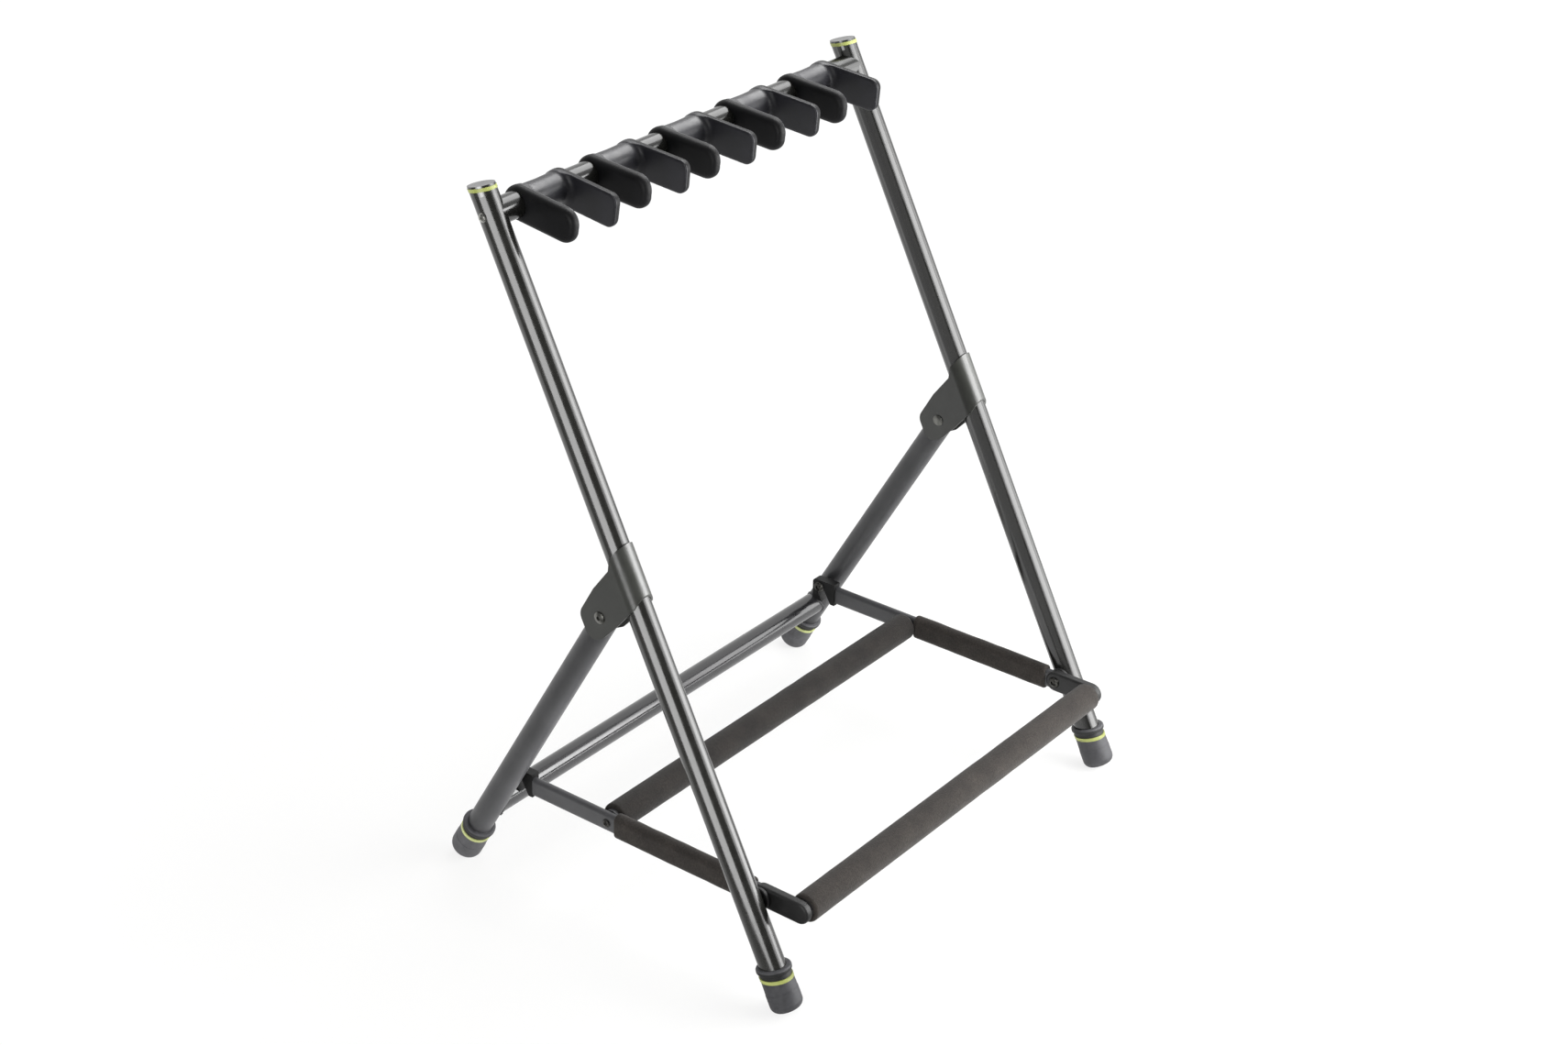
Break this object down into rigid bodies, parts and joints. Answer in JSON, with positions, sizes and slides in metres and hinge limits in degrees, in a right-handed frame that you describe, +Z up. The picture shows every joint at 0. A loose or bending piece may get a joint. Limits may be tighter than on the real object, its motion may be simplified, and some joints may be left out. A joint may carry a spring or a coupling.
{
  "type": "guitar rack",
  "caption": "Folding floor rack for guitars: leaning tubular uprights, a top bar of padded neck yokes, hinged rear legs and a foam-covered base frame that the bodies rest on",
  "frame": {"origin": "bottom centre of the bounding box, on the floor", "axes": "+X to the right seen from the front, +Y to the back, +Z up"},
  "size_m": [0.5626, 0.421, 0.713],
  "materials": {
    "black_tube": "gloss black powder coat",
    "grey_tube": "satin charcoal powder coat",
    "bracket": "satin charcoal powder coat on folded sheet",
    "steel": "zinc plated",
    "black_steel": "black oxide on steel",
    "foot_rubber": "matte dark grey rubber",
    "yoke_rubber": "satin black soft moulding",
    "ring": "yellow-green moulded band",
    "black_plastic": "black moulding",
    "bush_plastic": "natural nylon",
    "foam": "closed-cell foam sleeve"
  },
  "bodies": {
    "uprights": {"upright_left": "black_tube", "upright_right": "black_tube", "top_bar": "black_tube", "top_bar_inserts": "black_plastic", "top_bar_screws": "steel", "top_cap_left": "black_plastic", "top_cap_right": "black_plastic", "top_cap_rings": "ring", "hinge_bracket_left": "bracket", "hinge_bracket_right": "bracket", "hinge_rivet_left": "black_steel", "hinge_rivet_right": "black_steel", "front_foot_left": "foot_rubber", "front_foot_right": "foot_rubber", "front_foot_rings": "ring", "pivot_bolt_left": "black_steel", "pivot_bolt_right": "black_steel", "pivot_bush_left": "black_plastic", "pivot_bush_right": "black_plastic", "pivot_inserts": "steel"},
    "rear_legs": {"rear_leg_left": "grey_tube", "rear_leg_right": "grey_tube", "leg_hinge_bushes": "bush_plastic", "leg_top_plugs": "black_plastic", "rear_crossbar": "grey_tube", "rear_foot_left": "foot_rubber", "rear_foot_right": "foot_rubber", "rear_foot_rings": "ring", "hook_stud_left": "black_steel", "hook_stud_right": "black_steel", "stud_inserts": "steel"},
    "base_frame": {"side_rail_left": "grey_tube", "side_rail_right": "grey_tube", "rail_nose_left": "black_plastic", "rail_nose_right": "black_plastic", "rail_hook_left": "black_plastic", "rail_hook_right": "black_plastic", "front_bar": "grey_tube", "middle_bar": "grey_tube", "bar_plugs": "black_plastic", "bar_screws": "black_steel", "front_bar_foam": "foam", "middle_bar_foam": "foam", "rail_foam_left": "foam", "rail_foam_right": "foam"},
    "yoke_1": {"neck_yoke_1": "yoke_rubber"},
    "yoke_2": {"neck_yoke_2": "yoke_rubber"},
    "yoke_3": {"neck_yoke_3": "yoke_rubber"},
    "yoke_4": {"neck_yoke_4": "yoke_rubber"},
    "yoke_5": {"neck_yoke_5": "yoke_rubber"}
  },
  "joints": [
    {"name": "leg_fold", "type": "hinge", "parent": "uprights", "child": "rear_legs", "pos_m": [0, 0.00961, 0.3369], "axis": [-1, 0, 0], "range_deg": [0, 56.3]},
    {"name": "base_fold", "type": "hinge", "parent": "uprights", "child": "base_frame", "pos_m": [0, -0.15334, 0.0948], "axis": [1, 0, 0], "range_deg": [0, 63.45]},
    {"name": "yoke_1_slide", "type": "slide", "parent": "uprights", "child": "yoke_1", "axis": [1, 0, 0], "range_m": [-0.014, 0.014]},
    {"name": "yoke_2_slide", "type": "slide", "parent": "uprights", "child": "yoke_2", "axis": [1, 0, 0], "range_m": [-0.014, 0.014]},
    {"name": "yoke_3_slide", "type": "slide", "parent": "uprights", "child": "yoke_3", "axis": [1, 0, 0], "range_m": [-0.014, 0.014]},
    {"name": "yoke_4_slide", "type": "slide", "parent": "uprights", "child": "yoke_4", "axis": [1, 0, 0], "range_m": [-0.014, 0.014]},
    {"name": "yoke_5_slide", "type": "slide", "parent": "uprights", "child": "yoke_5", "axis": [1, 0, 0], "range_m": [-0.014, 0.014]}
  ],
  "couplings": [
    {"joint": "base_fold", "follows": "leg_fold", "ratio": 1.1261}
  ]
}
